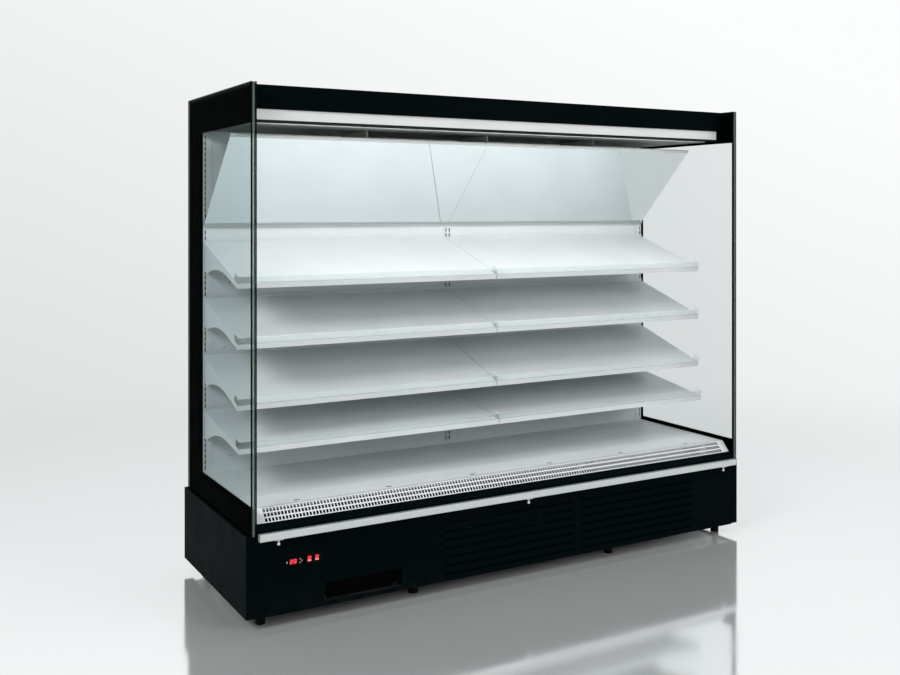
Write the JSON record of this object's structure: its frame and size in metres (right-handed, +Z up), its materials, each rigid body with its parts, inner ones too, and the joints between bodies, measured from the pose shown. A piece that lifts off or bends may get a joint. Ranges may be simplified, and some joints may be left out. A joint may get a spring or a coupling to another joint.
{
  "type": "display fridge",
  "caption": "Tall open-fronted display fridge with sloping shelves, clear glass ends, a lit black canopy over a tilted mirror, and a black base with louvred covers.",
  "frame": {"origin": "on the floor, in the middle of the length and of the depth (bumper front to base side back)", "axes": "+X along the length, to the right as seen from the front; +Y to the back; +Z up"},
  "size_m": [2.58, 0.913, 2.138],
  "materials": {
    "black_paint": "satin",
    "dark_paint": "satin",
    "white_paint": "satin",
    "grey_trim": "satin",
    "galvanised": "satin",
    "insulated_panel": "satin",
    "clear_glass": "gloss",
    "clear_spacer": "gloss",
    "black_border": "gloss",
    "bumper_metal": "satin",
    "white_plastic": "gloss",
    "mirror_glass": "polished",
    "light_metal": "satin",
    "diffuser_plastic": "matte",
    "honeycomb_plastic": "matte",
    "coil_metal": "satin",
    "motor_metal": "satin",
    "fan_plastic": "satin",
    "copper": "satin",
    "tray_plastic": "matte",
    "black_plastic": "satin",
    "key_plastic": "satin",
    "foot_plastic": "matte",
    "red_rocker": "gloss",
    "clear_riser": "gloss"
  },
  "bodies": {
    "cabinet": {"base_sides": "black_paint", "base_frame": "galvanised", "levelling_feet": "foot_plastic", "base_rear_cover": "galvanised", "cable_gland": "black_plastic", "insulated_tub": "insulated_panel", "insulated_back": "insulated_panel", "insulated_roof": "insulated_panel", "end_glass_panes": "clear_glass", "glass_spacers": "clear_spacer", "glass_borders": "black_border", "front_cover_left": "black_paint", "front_cover_louvred": "black_paint", "front_rail": "black_paint", "bumper": "bumper_metal", "blind_hooks": "white_plastic", "return_grille": "white_paint", "deck_pans": "white_paint", "deck_rails": "galvanised", "uprights": "white_paint", "rear_panels": "white_paint", "mirrors": "mirror_glass", "mirror_channels": "grey_trim", "canopy_fascia": "black_paint", "canopy_underside": "dark_paint", "canopy_braces": "galvanised", "light_housing": "light_metal", "light_diffuser": "diffuser_plastic", "air_honeycomb": "honeycomb_plastic", "fan_plate": "galvanised", "fan_motors": "motor_metal", "evaporator": "coil_metal", "condenser": "coil_metal", "compressor": "black_paint", "refrigerant_pipes": "copper", "electrical_box": "tray_plastic", "controller": "black_plastic", "switch_frame": "black_plastic"},
    "shelf_1": {"shelf_1_pans": "white_paint", "shelf_1_brackets": "white_paint", "shelf_1_risers": "clear_riser"},
    "shelf_2": {"shelf_2_pans": "white_paint", "shelf_2_brackets": "white_paint", "shelf_2_risers": "clear_riser"},
    "shelf_3": {"shelf_3_pans": "white_paint", "shelf_3_brackets": "white_paint", "shelf_3_risers": "clear_riser"},
    "shelf_4": {"shelf_4_pans": "white_paint", "shelf_4_brackets": "white_paint", "shelf_4_risers": "clear_riser"},
    "evaporator_fan_1_body": {"evaporator_fan_1": "fan_plastic"},
    "evaporator_fan_2_body": {"evaporator_fan_2": "fan_plastic"},
    "condenser_fan_1_body": {"condenser_fan_1": "fan_plastic"},
    "condenser_fan_2_body": {"condenser_fan_2": "fan_plastic"},
    "condensate_tray_body": {"condensate_tray": "tray_plastic"},
    "controller_key_1_body": {"controller_key_1": "key_plastic"},
    "controller_key_2_body": {"controller_key_2": "key_plastic"},
    "controller_key_3_body": {"controller_key_3": "key_plastic"},
    "rocker_1_body": {"rocker_1": "red_rocker"},
    "rocker_2_body": {"rocker_2": "red_rocker"}
  },
  "joints": [
    {"name": "shelf_tilt_1", "type": "hinge", "parent": "cabinet", "child": "shelf_1", "pos_m": [0, 0.2955, 1.494], "axis": [-1, 0, 0], "range_deg": [0, 18]},
    {"name": "shelf_tilt_2", "type": "hinge", "parent": "cabinet", "child": "shelf_2", "pos_m": [0, 0.2955, 1.244], "axis": [-1, 0, 0], "range_deg": [0, 18]},
    {"name": "shelf_tilt_3", "type": "hinge", "parent": "cabinet", "child": "shelf_3", "pos_m": [0, 0.2955, 0.994], "axis": [-1, 0, 0], "range_deg": [0, 18]},
    {"name": "shelf_tilt_4", "type": "hinge", "parent": "cabinet", "child": "shelf_4", "pos_m": [0, 0.2955, 0.744], "axis": [-1, 0, 0], "range_deg": [0, 9]},
    {"name": "evaporator_fan_spin_1", "type": "hinge", "parent": "cabinet", "child": "evaporator_fan_1_body", "pos_m": [-0.625, -0.0585, 0.3989], "axis": [0, 1, 0], "continuous": true},
    {"name": "evaporator_fan_spin_2", "type": "hinge", "parent": "cabinet", "child": "evaporator_fan_2_body", "pos_m": [0.625, -0.0585, 0.3989], "axis": [0, 1, 0], "continuous": true},
    {"name": "condenser_fan_spin_1", "type": "hinge", "parent": "cabinet", "child": "condenser_fan_1_body", "pos_m": [-0.222, -0.3, 0.1515], "axis": [0, 1, 0], "continuous": true},
    {"name": "condenser_fan_spin_2", "type": "hinge", "parent": "cabinet", "child": "condenser_fan_2_body", "pos_m": [0.078, -0.3, 0.1515], "axis": [0, 1, 0], "continuous": true},
    {"name": "tray_pull", "type": "slide", "parent": "cabinet", "child": "condensate_tray_body", "axis": [0, -1, 0], "range_m": [0, 0.3]},
    {"name": "key_press_1", "type": "slide", "parent": "cabinet", "child": "controller_key_1_body", "axis": [0, 1, 0], "range_m": [0, 0.0008], "stiffness_N_per_m": 1500, "springref_m": -0.0003},
    {"name": "key_press_2", "type": "slide", "parent": "cabinet", "child": "controller_key_2_body", "axis": [0, 1, 0], "range_m": [0, 0.0008], "stiffness_N_per_m": 1500, "springref_m": -0.0003},
    {"name": "key_press_3", "type": "slide", "parent": "cabinet", "child": "controller_key_3_body", "axis": [0, 1, 0], "range_m": [0, 0.0008], "stiffness_N_per_m": 1500, "springref_m": -0.0003},
    {"name": "rocker_1_switch", "type": "hinge", "parent": "cabinet", "child": "rocker_1_body", "pos_m": [-1.031, -0.4175, 0.251], "axis": [-1, 0, 0], "range_deg": [0, 16]},
    {"name": "rocker_2_switch", "type": "hinge", "parent": "cabinet", "child": "rocker_2_body", "pos_m": [-0.999, -0.4175, 0.251], "axis": [-1, 0, 0], "range_deg": [0, 16]}
  ]
}
